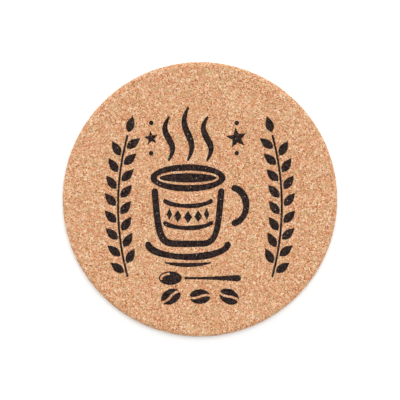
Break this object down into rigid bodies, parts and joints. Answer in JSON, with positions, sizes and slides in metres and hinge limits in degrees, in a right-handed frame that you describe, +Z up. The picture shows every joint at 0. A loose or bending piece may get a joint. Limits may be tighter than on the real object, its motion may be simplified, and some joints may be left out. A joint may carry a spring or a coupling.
{
  "type": "drink coaster",
  "caption": "Round drink coaster of pressed cork with rounded edges and a dark printed design of a steaming mug between leafy sprigs",
  "frame": {"origin": "middle of the underside, where the disc rests", "axes": "+Z up through the disc, +Y to the top of the printed design, +X to its right"},
  "size_m": [0.1, 0.1, 0.005],
  "materials": {
    "cork": "matte",
    "ink": "matte"
  },
  "bodies": {
    "root": {"cork_disc": "cork", "ink_mug_rim": "ink", "ink_mug_drink": "ink", "ink_mug_body": "ink", "ink_mug_handle": "ink", "ink_band_upper": "ink", "ink_band_lower": "ink", "ink_band_diamonds": "ink", "ink_steam_left": "ink", "ink_steam_middle": "ink", "ink_steam_right": "ink", "ink_saucer_edge": "ink", "ink_saucer_foot": "ink", "ink_spoon_bowl": "ink", "ink_spoon_handle": "ink", "ink_sprig_left_stem": "ink", "ink_sprig_left_leaves": "ink", "ink_sprig_right_stem": "ink", "ink_sprig_right_leaves": "ink", "ink_bean_left": "ink", "ink_bean_middle": "ink", "ink_bean_right": "ink", "ink_star_left": "ink", "ink_star_right": "ink", "ink_dots": "ink"}
  },
  "joints": []
}
